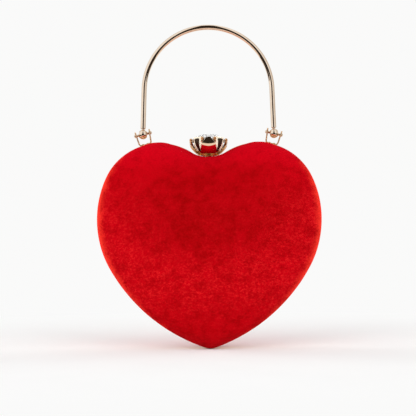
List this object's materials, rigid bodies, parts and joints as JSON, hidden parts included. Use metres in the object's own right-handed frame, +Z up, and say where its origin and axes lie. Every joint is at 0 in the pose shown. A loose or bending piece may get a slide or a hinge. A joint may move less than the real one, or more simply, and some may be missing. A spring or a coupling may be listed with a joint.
{
  "type": "heart shaped purse",
  "caption": "Hard heart shaped evening purse in velvet with gold frames, a crown clasp in the notch and a swinging wire handle.",
  "frame": {"origin": "lowest point of the heart's tip, at the parting of the two frames", "axes": "+X to the right, +Y to the back, +Z up through the notch and the handle"},
  "size_m": [0.17, 0.052, 0.2456],
  "materials": {
    "gold": "polished champagne gold plate",
    "steel": "plain bright steel",
    "foil": "mirror foil",
    "stone": "clear faceted glass",
    "velvet": "crushed red velvet pile",
    "wadding": "soft white wadding",
    "lining": "champagne satin",
    "shell": "moulded shell"
  },
  "bodies": {
    "back": {"back_frame": "gold", "back_shell": "shell", "back_wadding": "wadding", "back_velvet": "velvet", "back_lining": "lining", "hinge_pin": "steel", "left_shackle": "gold", "right_shackle": "gold", "shackle_rivets": "gold", "left_pin": "gold", "right_pin": "gold", "clasp_base": "gold", "clasp_base_rivets": "gold", "clasp_pivot_pin": "steel", "clasp_spring": "steel"},
    "front": {"front_frame": "gold", "front_shell": "shell", "front_wadding": "wadding", "front_velvet": "velvet", "front_lining": "lining", "catch": "gold", "catch_rivets": "gold"},
    "clasp": {"clasp_lever": "gold", "crown_cup": "gold", "crown_claws": "gold", "stone_seat": "foil", "stone": "stone", "crown_screw": "steel"},
    "handle": {"handle_rod": "gold", "left_ball": "gold", "right_ball": "gold"}
  },
  "joints": [
    {"name": "front_open", "type": "hinge", "parent": "back", "child": "front", "pos_m": [0, 0, 0.003], "axis": [1, 0, 0], "range_deg": [0, 78]},
    {"name": "clasp_tilt", "type": "hinge", "parent": "back", "child": "clasp", "pos_m": [0, 0.0034, 0.14756], "axis": [-1, 0, 0], "range_deg": [-5, 15], "stiffness_Nm_per_rad": 0.02},
    {"name": "handle_swing", "type": "hinge", "parent": "back", "child": "handle", "pos_m": [0, 0.0026, 0.16248], "axis": [1, 0, 0], "range_deg": [-110, 110]}
  ]
}
